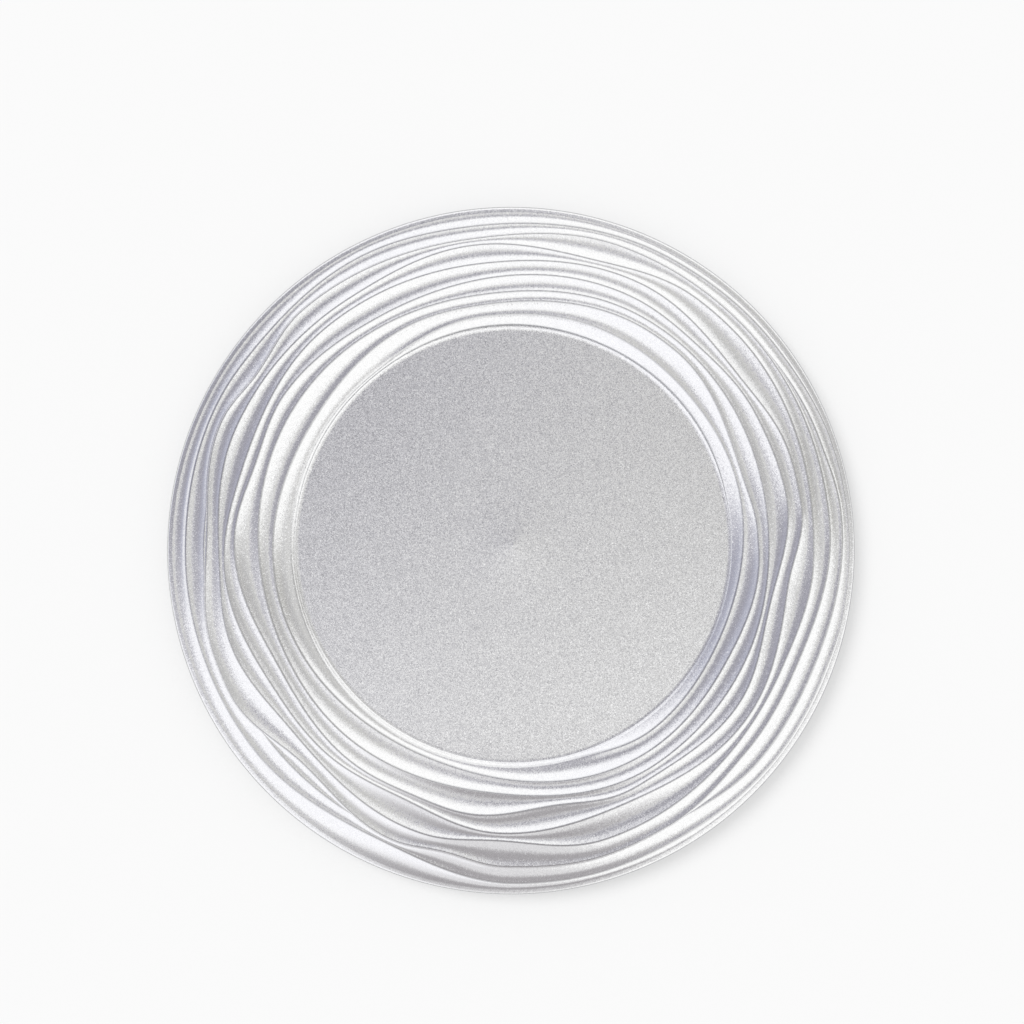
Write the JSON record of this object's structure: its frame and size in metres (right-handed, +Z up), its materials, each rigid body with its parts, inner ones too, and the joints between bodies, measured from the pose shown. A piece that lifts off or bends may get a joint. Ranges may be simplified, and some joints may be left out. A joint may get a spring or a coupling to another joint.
{
  "type": "charger plate",
  "caption": "Round silver charger plate with a flat well and a broad domed rim of wavy flutes, set under a dinner plate or used as a tray for candles.",
  "frame": {"origin": "on the table under the centre of the plate", "axes": "+Z up through the centre of the well, the face of the plate towards +Z; +X and +Y along the rim, with no front"},
  "size_m": [0.33, 0.33, 0.0149],
  "materials": {
    "grey_plastic": "bare light grey moulding, fine matt",
    "silver_lacquer": "sprayed metallic silver lacquer with fine flake, satin"
  },
  "bodies": {
    "root": {"plate_moulding": "grey_plastic", "silver_lacquer": "silver_lacquer"}
  },
  "joints": []
}
